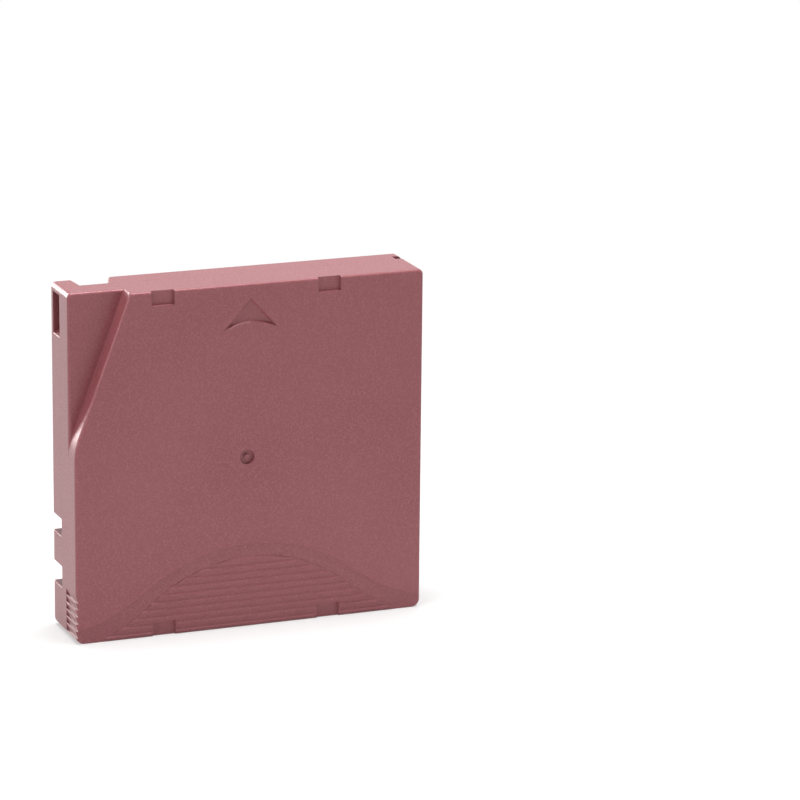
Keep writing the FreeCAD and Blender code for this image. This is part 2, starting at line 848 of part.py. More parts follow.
def face_marks(body, s):
    """The bell-shaped grip recess, the insertion arrow, the gate mark and the four pockets."""
    bell_plan = bell(
        s.bell_top_z,
        s.bell_crown_radius,
        s.bell_flank_angle,
        s.bell_flank_length,
        s.bell_foot_radius,
        s.half_width + BEYOND,
        as_size(-BEYOND),
    )
    above = s.face + BEYOND
    cut(body, "grip_recess", PLAN, [bell_plan], s.face - s.grip_depth, above)
    cut(body, "face_pockets", PLAN, face_pockets(s), s.face - s.face_pocket_depth, above)
    arrow = polygon([
        (-s.arrow_half_width, s.arrow_base_z, -s.arrow_base_radius),
        (s.arrow_half_width, s.arrow_base_z),
        (as_size(0), s.arrow_tip_z),
    ])
    recess = cut(body, "arrow", PLAN, [arrow], s.face - s.arrow_depth, s.face)
    bind(recess, "TaperAngle", -s.arrow_wall_angle)
    x, z = -s.reel_offset_x, s.reel_centre_z
    cut(body, "gate_recess", PLAN, [disc(x, z, s.gate_radius)], s.face - s.gate_depth, above)
    floor = s.face - s.gate_depth
    add(body, "gate_nub", PLAN, [disc(x, z, s.gate_nub_radius)], floor, floor + s.gate_nub_height)


def side_grip(body, s):
    low = s.side_grip_first_z
    high = low + s.side_grip_rise
    tooth = polygon([
        (-s.half_width - BEYOND, low),
        (s.side_grip_depth - s.half_width, low),
        (-s.half_width, high),
        (-s.half_width - BEYOND, high),
    ])
    groove = cut(body, "side_groove", PLAN, [tooth], s.side_grip_height, s.face + BEYOND)
    repeat_up(body, "side_grooves", groove, SIDE_GRIP_TEETH, s.side_grip_pitch)


def grip_ridges(doc, s):
    """Ten saw-tooth ridges that fill a smaller bell inside the grip recess."""
    floor = s.face - s.grip_depth
    bounds = new_body(doc, "ridge_bounds")
    plan = bell(
        s.ridge_top_z,
        s.ridge_crown_radius,
        s.ridge_flank_angle,
        s.ridge_flank_length,
        s.ridge_foot_radius,
        s.ridge_edge_x,
        s.edge_radius,
    )
    add(bounds, "ridge_bell", PLAN, [plan], floor, s.face)
    cut(bounds, "ridge_pockets", PLAN, face_pockets(s), floor - BEYOND, s.face + BEYOND)
    teeth = new_body(doc, "ridge_teeth")
    corners = []
    for index in range(RIDGES):
        crest = s.ridge_first_z - s.ridge_pitch * index
        corners.append((-floor, crest + s.ridge_bevel))
        corners.append((-s.face, crest))
    corners.append((-floor, s.ridge_first_z - s.ridge_pitch * RIDGES + s.ridge_bevel))
    add(teeth, "saw_profile", SIDE, [polygon(corners)], -s.half_width, s.half_width)
    ridges = doc.addObject("Part::Common", "ridges")
    ridges.Base = bounds
    ridges.Tool = teeth
    return ridges


def upper_shell(doc, s):
    body = new_body(doc, "upper_moulding")
    upper_outside(body, s)
    upper_hollow(body, s)
    upper_reel_boss(body, s)
    upper_screw_bosses(body, s)
    upper_slider_rail(body, s)
    upper_door_parts(body, s)
    hook_roof(body, s)
    label_recess(body, s, s.seam, s.face - s.label_edge)
    face_marks(body, s)
    side_grip(body, s)
    shell = doc.addObject("Part::Fuse", "upper_shell")
    shell.Base = body
    shell.Tool = grip_ridges(doc, s)
    return shell


# ---- lower shell -----------------------------------------------------------------------------


def lower_outside(body, s):
    add(body, "deck", PLAN, [case_plan(s)], -s.face, s.seam)
    round_uprights(body, s, (-1, 1), (-1, 1))
    dress_edges(body, "Fillet", "base_edges", s.edge_radius, at_height(-s.face))
    add(body, "tongue", PLAN, [case_plan(s, s.tongue_inset)], s.seam, s.seam + s.tongue_height)
    cut(body, "cavity", PLAN, [case_plan(s, s.wall)], s.floor, s.seam + s.tongue_height)


def lower_gear_opening(body, s):
    x, z = -s.reel_offset_x, s.reel_centre_z
    seat_radius = s.gear_opening_radius + s.seat_ring_width
    seat_top = s.floor + s.seat_ring_height
    add(body, "seat_ring", PLAN, [disc(x, z, seat_radius)], s.floor, seat_top)
    cut(body, "gear_opening", PLAN, [disc(x, z, s.gear_opening_radius)], -s.face, seat_top)


def side_notches(s):
    """The gripper notches in the side walls: side, rear end and length of each."""
    return [
        (-1, s.rear_notch_z, s.rear_notch_length),
        (-1, s.front_notch_z, s.front_notch_length),
        (1, s.rear_notch_z, s.rear_notch_length),
    ]


def beside_wall(side, near, far, low, high):
    """A rectangle from near to far off the middle, on the left side (-1) or the right (1)."""
    return rectangle(-far, low, -near, high) if side < 0 else rectangle(near, low, far, high)


def pocket_skins(body, s):
    """The inner skins that keep the notches, the hook pocket and the front slot closed."""
    near = s.half_width - s.notch_depth - s.notch_skin
    skins = [
        beside_wall(side, near, s.inner_right, low - s.notch_skin, low + length + s.notch_skin)
        for side, low, length in side_notches(s)
    ]
    skins.append(polygon([
        (-s.inner_right, s.hook_low_z - s.hook_skin),
        (s.hook_depth - s.half_width + s.hook_skin, s.hook_low_z - s.hook_skin),
        (s.hook_depth - s.half_width + s.hook_skin, s.case_length - s.slot_length - s.slot_skin),
        (s.slot_skin - s.slot_right_x, s.case_length - s.slot_length - s.slot_skin),
        (s.slot_skin - s.slot_right_x, s.inner_top),
        (-s.inner_right, s.inner_top),
    ]))
    add(body, "pocket_skins", PLAN, skins, s.floor, s.seam)


def gripper_notches(body, s):
    near = s.half_width - s.notch_depth
    notches = [
        beside_wall(side, near, s.half_width + BEYOND, low, low + length)
        for side, low, length in side_notches(s)
    ]
    cut(body, "notches", PLAN, notches, -s.face, s.seam)


def hook_pocket(body, s):
    """The side pocket for a loader's hook, with a ramp at its rear end."""
    inner = s.hook_depth - s.half_width
    pocket = polygon([
        (-s.half_width - BEYOND, s.hook_low_z),
        (-s.half_width, s.hook_low_z),
        (inner, s.hook_low_z + s.hook_ramp_run),
        (inner, s.hook_high_z),
        (-s.half_width - BEYOND, s.hook_high_z),
    ])
    cut(body, "hook_pocket", PLAN, [pocket], s.hook_floor - s.face, s.seam + s.tongue_height)


def on_slot_mouth(s):
    """The slot's two side edges on the front wall, but not the edge along its roof."""
    front, roof = s.case_length.value, (s.slot_roof - s.seam).value

    def wanted(edge):
        ends = [v.Point for v in edge.Vertexes]
        if any(abs(p.z - front) > 1e-4 for p in ends):
            return False
        left, right = -s.slot_left_x.value - 0.1, -s.slot_right_x.value + 0.1
        return all(left < p.x < right for p in ends) and max(p.y for p in ends) > roof + 2

    return wanted


def front_slot(body, s):
    """The slot beside the insertion guide, open to the front and to the gear side."""
    low = s.case_length - s.slot_length
    roof = s.slot_roof - s.seam
    bend = -s.slot_right_x - s.slot_shoulder
    opening = polygon([
        (-s.slot_left_x, s.face + BEYOND),
        (s.slot_draft - s.slot_left_x, roof),
        (bend - s.slot_end_rise, roof, s.slot_end_radius),
        (bend, roof + s.slot_end_rise),
        (-s.slot_right_x, s.face + BEYOND),
    ])
    cut(body, "front_slot", TURNED, [opening], low, s.case_length + BEYOND)
    dress_edges(body, "Fillet", "slot_mouth", s.slot_mouth_radius, on_slot_mouth(s))


def lower_door_parts(body, s):
    top = s.seam + s.tongue_height
    cut(body, "window", PLAN, [door_window(s)], s.floor, top)
    cut(body, "track", PLAN, [door_track(s)], s.floor - s.door_groove_depth, top)
    half = s.lug_slot_width / 2
    slot = rectangle(
        s.door_inner_x - s.door_gap, s.window_high_z - BEYOND, s.half_width + BEYOND, s.case_length + BEYOND
    )
    cut(body, "lug_slot", PLAN, [slot], -s.lug_y - half, half - s.lug_y)
    stop = rectangle(
        s.seat_inner_x, s.spring_stop_z - s.spring_stop_length, s.inner_right - s.fit_gap, s.spring_stop_z
    )
    add(body, "spring_stop", PLAN, [stop], s.floor, s.seat_half_height)
    peg = disc(s.door_spring_x, as_size(0), s.spring_peg_radius)
    add(body, "spring_peg", TURNED, [peg], s.spring_stop_z, s.spring_stop_z + s.spring_peg_length)
    add(body, "leaf_posts", PLAN, leaf_posts(s), s.floor, s.floor + s.leaf_height)


def lower_screw_bosses(body, s):
    seat = screw_seat(s)
    add(body, "screw_bosses", PLAN, at_screws(s, s.boss_radius), s.floor, s.seam)
    counterbores = at_screws(s, s.screw_head_radius + s.screw_clearance)
    cut(body, "counterbores", PLAN, counterbores, -s.face, seat)
    holes = at_screws(s, s.screw_shank_radius + s.screw_clearance, draw=many_sided)
    cut(body, "screw_holes", PLAN, holes, seat, s.seam)


def locating_holes(body, s):
    """One round and one oblong blind hole that a drive's pins find."""
    top = s.locating_depth - s.face

    def both(radius):
        return [disc(-s.locating_round_x, s.locating_z, radius), locating_slot(s, radius)]

    bosses = both(s.locating_radius + s.locating_wall)
    add(body, "locating_bosses", PLAN, bosses, s.floor, top + s.locating_wall)
    cut(body, "locating_holes", PLAN, both(s.locating_radius), -s.face, top)


def board_gussets(body, s):
    """Slanted ribs in the rear right corner: two carry the memory board, two keep its ends."""
    left, right = s.board_low_x, s.board_low_x + s.board_length
    inset = s.gusset_thickness
    ribs = [
        ("left_keeper", left - s.fit_gap - s.gusset_thickness, s.gusset_height + s.keeper_rise),
        ("left_gusset", left + inset, s.gusset_height),
        ("right_gusset", right - inset - s.gusset_thickness, s.gusset_height),
        ("right_keeper", right + s.fit_gap, s.gusset_height + s.keeper_rise),
    ]
    for name, x, rise in ribs:
        rib = polygon([(-s.floor, s.wall), (-s.floor, s.wall + rise), (-s.floor - rise, s.wall)])
        add(body, name, SIDE, [rib], x, x + s.gusset_thickness)


def lower_slider_rail(body, s):
    low = slider_levels(s)[0] - s.fit_gap
    rail, lip = rail_plans(s)
    add(body, "lower_rail", PLAN, [rail], s.floor, low)
    add(body, "lower_rail_lip", PLAN, [lip], low, low + s.rail_lip)


def lower_shell(doc, s):
    body = new_body(doc, "lower_shell")
    lower_outside(body, s)
    lower_slider_rail(body, s)
    board_gussets(body, s)
    pocket_skins(body, s)
    gripper_notches(body, s)
    hook_pocket(body, s)
    front_slot(body, s)
    lower_screw_bosses(body, s)
    locating_holes(body, s)
    lower_gear_opening(body, s)
    lower_door_parts(body, s)
    label_recess(body, s, s.label_edge - s.face, s.seam)
    return body


# ---- reel ------------------------------------------------------------------------------------


def reel_body(doc, label, s):
    return new_body(doc, label, -s.reel_offset_x, s.reel_centre_z)


def tooth(body, name, s, root_level, tip_level, width, radii, turned):
    """One wedge-shaped tooth across a ring, turned about the reel's axis by this angle."""
    half = width / 2
    wedge = polygon([(-root_level, -half), (-root_level, half), (-tip_level, as_size(0))])
    inner, outer = radii
    return add(body, name, SIDE, [wedge], inner + s.tooth_end_gap, outer - s.tooth_end_gap, turned)


def hub_profile(s):
    zero = as_size(0)
    flange_top = s.flange_under + s.flange_thickness
    return polygon([
        (zero, -s.web_outer),
        (s.hub_radius, -s.web_outer),
        (s.hub_radius, -s.flange_under),
        (s.flange_radius, -s.flange_under),
        (s.flange_radius, -flange_top),
        (s.hub_radius, -flange_top),
        (s.hub_radius, -s.upper_flange_low),
        (s.hub_inner_radius, -s.upper_flange_low),
        (s.hub_inner_radius, -s.web_inner),
        (s.brake_ring_outer_radius, -s.web_inner),
        (s.brake_ring_outer_radius, -s.engage_root),
        (s.brake_ring_inner_radius, -s.engage_root),
        (s.brake_ring_inner_radius, -s.web_inner),
        (zero, -s.web_inner),
    ])


def sector_teeth(body, name, s, levels, width, radii, teeth, run):
    """A ring of teeth that leaves room at each clutch leg; run of them stand in each sector."""
    pitch = 360 / teeth
    first = pitch * (teeth / CLUTCH_LEGS - run + 1) / 2
    made = tooth(body, name + "_tooth", s, *levels, width, radii, first)
    repeat_sectors(body, name + "_teeth", made, pitch, run, CLUTCH_LEGS)


def reel_hub(doc, s):
    """Hub, web and lower flange in one moulding, with its drive teeth and brake teeth."""
    body = reel_body(doc, "reel_hub", s)
    zero = as_size(0)
    turn(body, "hub", [hub_profile(s)])
    half = s.arm_slot_width / 2
    slot = rectangle(s.brake_ring_inner_radius - BEYOND, -half, s.brake_ring_outer_radius + BEYOND, half)
    arm = cut(body, "arm_slot", PLAN, [slot], s.web_inner, s.engage_root)
    repeat_round(body, "arm_slots", arm, CLUTCH_LEGS)
    hole = disc(s.leg_circle_radius, zero, s.leg_radius + s.leg_clearance)
    leg = cut(body, "leg_hole", PLAN, [hole], s.web_outer, s.web_inner)
    repeat_round(body, "leg_holes", leg, CLUTCH_LEGS)
    ring = (s.brake_ring_inner_radius, s.brake_ring_outer_radius)
    levels = (s.engage_root, s.engage_root + s.brake_tooth_height)
    sector_teeth(body, "engage", s, levels, s.brake_tooth_width, ring, BRAKE_TEETH, ENGAGE_SECTOR)
    ring = (s.gear_inner_radius, s.gear_outer_radius)
    levels = (s.web_outer, s.gear_tip)
    sector_teeth(body, "drive", s, levels, s.gear_tooth_width, ring, GEAR_TEETH, DRIVE_SECTOR)
    return body


def reel_upper_flange(doc, s):
    body = reel_body(doc, "reel_upper_flange", s)
    ring = [disc(as_size(0), as_size(0), radius) for radius in (s.flange_radius, s.hub_inner_radius)]
    add(body, "flange", PLAN, ring, s.upper_flange_low, s.upper_flange_high)
    return body


def reel_drive_plate(doc, s):
    """The steel washer on the web that a drive's magnet holds."""
    body = reel_body(doc, "reel_drive_plate", s)
    zero = as_size(0)
    washer = [disc(zero, zero, s.drive_plate_radius), disc(zero, zero, s.drive_plate_hole_radius)]
    add(body, "washer", PLAN, washer, s.web_outer - s.drive_plate_thickness, s.web_outer)
    return body


def tape_pack(doc, s):
    body = reel_body(doc, "tape_pack", s)
    zero = as_size(0)
    turns = [disc(zero, zero, s.pack_radius), disc(zero, zero, s.hub_radius + s.fit_gap / 5)]
    add(body, "wound_turns", PLAN, turns, s.tape_low, s.tape_high)
    return body


# ---- brake and clutch ------------------------------------------------------------------------


def clutch_spider(doc, s):
    """Three arms whose legs reach through the web into the drive gear."""
    body = reel_body(doc, "clutch_spider", s)
    zero = as_size(0)
    add(body, "middle", PLAN, [disc(zero, zero, s.spider_hub_radius)], s.spider_low, s.spider_high)
    half = s.spider_arm_width / 2
    reach = s.leg_circle_radius + s.leg_radius
    arm = add(body, "arm", PLAN, [rectangle(zero, -half, reach, half)], s.spider_low, s.spider_high)
    repeat_round(body, "arms", arm, CLUTCH_LEGS)
    leg_plan = disc(s.leg_circle_radius, zero, s.leg_radius)
    leg = add(body, "leg", PLAN, [leg_plan], s.gear_tip + s.leg_tip_inset, s.spider_low)
    repeat_round(body, "legs", leg, CLUTCH_LEGS)
    return body


def brake_button(doc, s):
    """Disc with a ring of brake teeth below and a slotted hub above that keys into the shell."""
    body = reel_body(doc, "brake_button", s)
    zero = as_size(0)
    turn(body, "button", [polygon([
        (zero, -s.brake_root),
        (s.brake_disc_radius, -s.brake_root),
        (s.brake_disc_radius, -s.brake_disc_high),
        (s.brake_hub_radius, -s.brake_disc_high),
        (s.brake_hub_radius, -s.brake_top),
        (zero, -s.brake_top),
    ])])
    half = s.brake_pip_width / 2
    pip = rectangle(-half, -half, half, half)
    add(body, "release_pip", PLAN, [pip], s.spider_high + s.brake_pip_gap, s.brake_root)
    slot = cross(zero, zero, s.key_span / 2 + s.key_gap, s.key_thickness / 2 + s.key_gap)
    cut(body, "key_slot", PLAN, [slot], s.brake_top - s.brake_slot_depth, s.brake_top)
    ring = (s.brake_ring_inner_radius, s.brake_ring_outer_radius)
    tip = s.brake_root - s.brake_tooth_height
    first = tooth(body, "brake_tooth", s, s.brake_root, tip, s.brake_tooth_width, ring, 360 / BRAKE_TEETH)
    repeat_round(body, "brake_teeth", first, BRAKE_TEETH)
    return body


# ---- springs ---------------------------------------------------------------------------------


def triangle(first, second, third):
    return Part.Face(Part.makePolygon([first, second, third, first]))


def coil(doc, label, start, axis, length, radius, wire, turns):
    """A coil spring: square wire that runs straight from station to station of its helix."""
    across = FreeCAD.Vector(1, 0, 0)
    along = FreeCAD.Vector(*axis)
    other = along.cross(across)
    stations = int(round(turns * COIL_STEPS)) + 1
    sections = []
    for station in range(stations):
        angle = 2 * math.pi * station / COIL_STEPS
        outward = across * math.cos(angle) + other * math.sin(angle)
        centre = FreeCAD.Vector(*start) + outward * radius + along * (length * station / (stations - 1))
        turned = [2 * math.pi * side / WIRE_SIDES for side in range(WIRE_SIDES)]
        sections.append([centre + (outward * math.cos(a) + along * math.sin(a)) * (wire / 2) for a in turned])
    faces = [Part.Face(Part.makePolygon(end + end[:1])) for end in (sections[0], sections[-1])]
    for here, there in zip(sections, sections[1:]):
        for side in range(WIRE_SIDES):
            after = (side + 1) % WIRE_SIDES
            faces.append(triangle(here[side], here[after], there[after]))
            faces.append(triangle(here[side], there[after], there[side]))
    spring = doc.addObject("Part::Feature", label)
    spring.Shape = Part.Solid(Part.Shell(faces))
    return spring


def brake_spring(doc, s):
    slack = s.fit_gap.value / 5
    low = s.brake_disc_high.value + s.brake_spring_wire.value / 2 + slack
    high = s.ceiling.value - s.brake_spring_wire.value / 2 - slack
    start = (-s.reel_offset_x.value, -low, s.reel_centre_z.value)
    wire, turns = s.brake_spring_wire.value, s.brake_spring_turns.value
    return coil(doc, "brake_spring", start, (0, -1, 0), high - low, s.brake_spring_radius.value, wire, turns)


def door_spring(doc, s):
    slack = s.fit_gap.value / 5
    wire, turns = s.door_spring_wire.value, s.door_spring_turns.value
    low = s.spring_stop_z.value + wire / 2 + slack
    high = s.door_low_z.value - wire / 2 - slack
    start = (s.door_spring_x.value, 0, low)
    return coil(doc, "door_spring", start, (0, 0, 1), high - low, s.door_spring_radius.value, wire, turns)


# ---- door, leader pin and their springs ------------------------------------------------------


def access_door(doc, s):
    body = new_body(doc, "access_door")
    half = s.ceiling + s.door_groove_depth - s.door_gap
    panel = rectangle(s.door_inner_x, s.door_low_z, s.door_outer_x, s.door_high_z)
    add(body, "panel", PLAN, [panel], -half, half)
    lug_half = s.lug_width / 2
    lug = rectangle(s.door_inner_x, s.door_high_z, s.half_width - s.lug_reach, s.door_high_z + s.lug_length)
    add(body, "lug", PLAN, [lug], -s.lug_y - lug_half, lug_half - s.lug_y)
    seat = rectangle(s.seat_inner_x, s.door_low_z, s.door_inner_x, s.door_low_z + s.seat_length)
    add(body, "spring_seat", PLAN, [seat], -s.seat_half_height, s.seat_half_height)
    peg = disc(s.door_spring_x, as_size(0), s.spring_peg_radius)
    add(body, "spring_peg", TURNED, [peg], s.door_low_z - s.spring_peg_length, s.door_low_z)
    return body


def leader_pin(doc, s):
    body = new_body(doc, "leader_pin", s.pin_x, s.pin_z)
    end = s.pin_half_length
    rim = end - s.pin_rim_thickness
    thick, thin = s.pin_rim_radius, s.pin_neck_radius
    zero = as_size(0)
    half = [(thick, end), (thick, rim), (thin, rim)]
    low = [(radius, -level) for radius, level in half]
    turn(body, "pin", [polygon([(zero, -end)] + low + half[::-1] + [(zero, end)])])
    return body


def leader_pin_clamp(doc, s):
    """The C-shaped clip that holds the tape's end on the pin."""
    body = new_body(doc, "leader_pin_clamp", s.pin_x, s.pin_z)
    zero = as_size(0)
    half = s.pin_half_length - s.pin_rim_thickness - s.pin_neck_length
    ring = [disc(zero, zero, s.clamp_radius), disc(zero, zero, s.pin_neck_radius + s.fit_gap / 5)]
    add(body, "ring", PLAN, ring, -half, half)
    mouth = s.clamp_mouth / 2
    gap = rectangle(zero, -mouth, s.clamp_radius + BEYOND, mouth)
    cut(body, "mouth", PLAN, [gap], -half, half)
    return body


def pin_spring(doc, label, s, low, high):
    """A bent leaf that grips a rim of the leader pin and opens towards the door."""
    body = new_body(doc, label, s.pin_x, s.pin_z)
    inner = s.pin_rim_radius + s.leaf_gap
    outer = inner + s.leaf_thickness
    half = s.leaf_thickness / 2
    side, up = cosine(s.leaf_mouth_angle), sine(s.leaf_mouth_angle)
    neck = -root(outer * outer - half * half)
    lip_x, lip_z = s.leaf_lip, s.leaf_lip / 2
    leaf = polygon([
        (outer * side, outer * up, outer),
        (neck, half),
        (-outer - s.leaf_tail, half),
        (-outer - s.leaf_tail, -half),
        (neck, -half, outer),
        (outer * side, -outer * up),
        (outer * side + lip_x, -outer * up - lip_z),
        (inner * side + lip_x + half, half - inner * up - lip_z),
        (inner * side, -inner * up, -inner),
        (-inner, as_size(0), -inner),
        (inner * side, inner * up),
        (inner * side + lip_x + half, inner * up + lip_z - half),
        (outer * side + lip_x, outer * up + lip_z),
    ])
    add(body, "leaf", PLAN, [leaf], low, high)
    return body


def tape_leader(doc, s):
    """The free end of the tape, from the pack's tangent to the pin's clamp."""
    across, up = s.pin_x + s.reel_offset_x, s.pin_z - s.reel_centre_z
    reach = root(across * across + up * up)
    run = root(reach * reach - s.pack_radius * s.pack_radius)
    tangent = math.degrees(math.atan2(up.value, across.value) + math.acos((s.pack_radius / reach).value))
    strip = doc.addObject("Part::Feature", "tape_leader")
    length = (run - s.clamp_radius - s.fit_gap).value
    corner = FreeCAD.Vector(0, -s.tape_high.value, (s.pack_radius + s.fit_gap / 5).value)
    strip.Shape = Part.makeBox(length, s.tape_width.value, s.strip_thickness.value, corner)
    turned = FreeCAD.Rotation(FreeCAD.Vector(0, 1, 0), 90 - tangent)
    strip.Placement = FreeCAD.Placement(
        FreeCAD.Vector(-s.reel_offset_x.value, 0, s.reel_centre_z.value), turned
    )
    return strip


# ---- small case pieces -----------------------------------------------------------------------


def write_protect_slider(doc, s):
    body = new_body(doc, "write_protect_slider")
    low, high = slider_levels(s)
    back = s.wall + s.fit_gap
    front = back + s.slider_thickness
    plate = rectangle(-s.slider_low_x, back, s.slider_length - s.slider_low_x, front)
    add(body, "plate", PLAN, [plate], low, high)
    tab = rectangle(-s.slider_tab_x, s.slider_tab_inset, s.slider_tab_width - s.slider_tab_x, back)
    middle = s.protect_window_height
    half = s.protect_window_half_height - s.fit_gap * 3
    add(body, "tab", PLAN, [tab], middle - half, middle + half)
    return body


def slanted_box(doc, label, s, x, along, lift, sizes):
    """A box lying on the gussets' 45 degree slope, along it from the slope's foot."""
    box = doc.addObject("Part::Box", label)
    for prop, size in zip(("Length", "Width", "Height"), sizes):
        bind(box, prop, size)
    box.Placement.Rotation = FreeCAD.Rotation(FreeCAD.Vector(1, 0, 0), 45)
    diagonal = root(as_size(2))
    bind(box, "Placement.Base.x", x)
    bind(box, "Placement.Base.y", -s.floor - s.gusset_height + (along - lift) / diagonal)
    bind(box, "Placement.Base.z", s.wall + (along + lift) / diagonal)
    return box


def memory_board(doc, s):
    sizes = (s.board_length, s.board_width, s.board_thickness)
    along = s.board_margin * root(as_size(2))
    return slanted_box(doc, "memory_board", s, s.board_low_x, along, s.fit_gap / 5, sizes)


def memory_chip(doc, s):
    sizes = (s.chip_side, s.chip_side, s.chip_thickness)
    x = s.board_low_x + (s.board_length - s.chip_side) / 2
    along = s.board_margin * root(as_size(2)) + (s.board_width - s.chip_side) / 2
    return slanted_box(doc, "memory_chip", s, x, along, s.fit_gap / 5 + s.board_thickness, sizes)


def case_screw(doc, name, s):
    """A pan-head screw, head towards the gear side."""
    body = new_body(doc, name + "_screw", *screw_places(s)[name])
    zero = as_size(0)
    seat = screw_seat(s)
    head, shank = (many_sided(zero, zero, r) for r in (s.screw_head_radius, s.screw_shank_radius))
    add(body, "head", PLAN, [head], seat - s.screw_head_height, seat)
    add(body, "shank", PLAN, [shank], seat, seat + s.screw_length)
    return body


def case_screws(doc, s):
    group = doc.addObject("Part::Compound", "case_screws")
    group.Links = [case_screw(doc, name, s) for name in SCREW_NAMES]
    return group


# ---- the whole cartridge ---------------------------------------------------------------------


def check_states(doc):
    for item in doc.Objects:
        if "Invalid" in item.State or "Error" in item.State:
            raise RuntimeError(f"{item.Name} failed: {item.State}")


def write_parts(pieces):
    os.makedirs("parts", exist_ok=True)
    for piece in pieces:
        shape = piece.Shape
        if shape.isNull() or not shape.isValid():
            raise RuntimeError(f"{piece.Label} is not a sound solid")
        shape.exportStep(os.path.join("parts", piece.Label + ".step"))


def main():
    doc = FreeCAD.newDocument("data_tape_cartridge")
    s = Sizes(doc)
    for work_out in (case_levels, side_places, front_places, door_levels, reel_levels, gear_levels):
        work_out(s)
    makers = (
        upper_shell,
        lower_shell,
        access_door,
        door_spring,
        leader_pin,
        leader_pin_clamp,
        tape_leader,
        reel_hub,
        reel_upper_flange,
        reel_drive_plate,
        tape_pack,
        clutch_spider,
        brake_button,
        brake_spring,
        write_protect_slider,
        memory_board,
        memory_chip,
        case_screws,
    )
    pieces = [make(doc, s) for make in makers]
    pieces.append(pin_spring(doc, "pin_spring_lower", s, s.floor, s.floor + s.leaf_height))
    pieces.append(pin_spring(doc, "pin_spring_upper", s, s.ceiling - s.leaf_height, s.ceiling))
    doc.recompute()
    check_states(doc)
    write_parts(pieces)


main()
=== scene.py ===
"""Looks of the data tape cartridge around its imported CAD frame, in metres."""

import json
import math

import bmesh
import bpy
from mathutils import Matrix, Vector


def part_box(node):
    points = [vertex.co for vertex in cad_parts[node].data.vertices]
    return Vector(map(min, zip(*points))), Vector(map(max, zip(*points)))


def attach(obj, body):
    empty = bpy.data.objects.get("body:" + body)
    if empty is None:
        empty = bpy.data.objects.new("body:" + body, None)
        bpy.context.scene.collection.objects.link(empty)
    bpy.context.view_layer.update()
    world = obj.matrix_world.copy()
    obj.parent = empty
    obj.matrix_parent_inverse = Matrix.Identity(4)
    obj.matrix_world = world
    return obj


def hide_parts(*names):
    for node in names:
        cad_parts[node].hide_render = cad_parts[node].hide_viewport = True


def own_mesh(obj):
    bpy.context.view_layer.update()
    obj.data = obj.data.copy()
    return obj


scene = bpy.context.scene


def srgb(red, green, blue):
    """A colour as the eye reads it, from 0 to 255, as the linear values that shaders take."""
    parts = [channel / 255 for channel in (red, green, blue)]
    linear = [c / 12.92 if c <= 0.04045 else ((c + 0.055) / 1.055) ** 2.4 for c in parts]
    return (*linear, 1.0)


# ---- camera: its own place, a long lens seen from the left and a little above ------------------

CAMERA_TURN = (21.788, 15.349, 0.597)  # yaw, pitch and roll in degrees
CAMERA_AIM = (0, 0, 0.051)  # the case's centre
CAMERA_SHIFT = (-0.0466506, -0.013509)  # of the case's centre to the right and up in the picture
CAMERA_DISTANCE = 1.25881
CAMERA_LENS, SENSOR_WIDTH = 196.24, 36.0  # millimetres


def add_camera():
    yaw, pitch, roll = (math.radians(a) for a in CAMERA_TURN)
    ahead = math.cos(pitch)
    forward = Vector((math.sin(yaw) * ahead, math.cos(yaw) * ahead, -math.sin(pitch)))
    level = Vector((math.cos(yaw), -math.sin(yaw), 0))
    above = level.cross(forward)
    right = level * math.cos(roll) + above * math.sin(roll)
    up = above * math.cos(roll) - level * math.sin(roll)
    away = right * CAMERA_SHIFT[0] + up * CAMERA_SHIFT[1] + forward * CAMERA_DISTANCE
    place = Vector(CAMERA_AIM) - away
    data = bpy.data.cameras.new("camera")
    data.lens = CAMERA_LENS
    data.sensor_width = SENSOR_WIDTH
    data.clip_start, data.clip_end = 0.05, 50.0
    camera = bpy.data.objects.new("camera", data)
    turned = Matrix((right, up, -forward)).transposed().to_4x4()
    camera.matrix_world = Matrix.Translation(place) @ turned
    scene.collection.objects.link(camera)
    scene.camera = camera


add_camera()
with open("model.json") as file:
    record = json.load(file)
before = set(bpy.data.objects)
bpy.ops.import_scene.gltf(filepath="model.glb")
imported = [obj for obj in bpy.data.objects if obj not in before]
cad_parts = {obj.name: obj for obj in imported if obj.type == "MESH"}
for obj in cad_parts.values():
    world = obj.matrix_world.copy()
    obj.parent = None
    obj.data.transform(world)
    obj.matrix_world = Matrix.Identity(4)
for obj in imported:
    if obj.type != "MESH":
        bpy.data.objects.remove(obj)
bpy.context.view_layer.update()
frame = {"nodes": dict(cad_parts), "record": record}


# ---- materials ---------------------------------------------------------------------------------


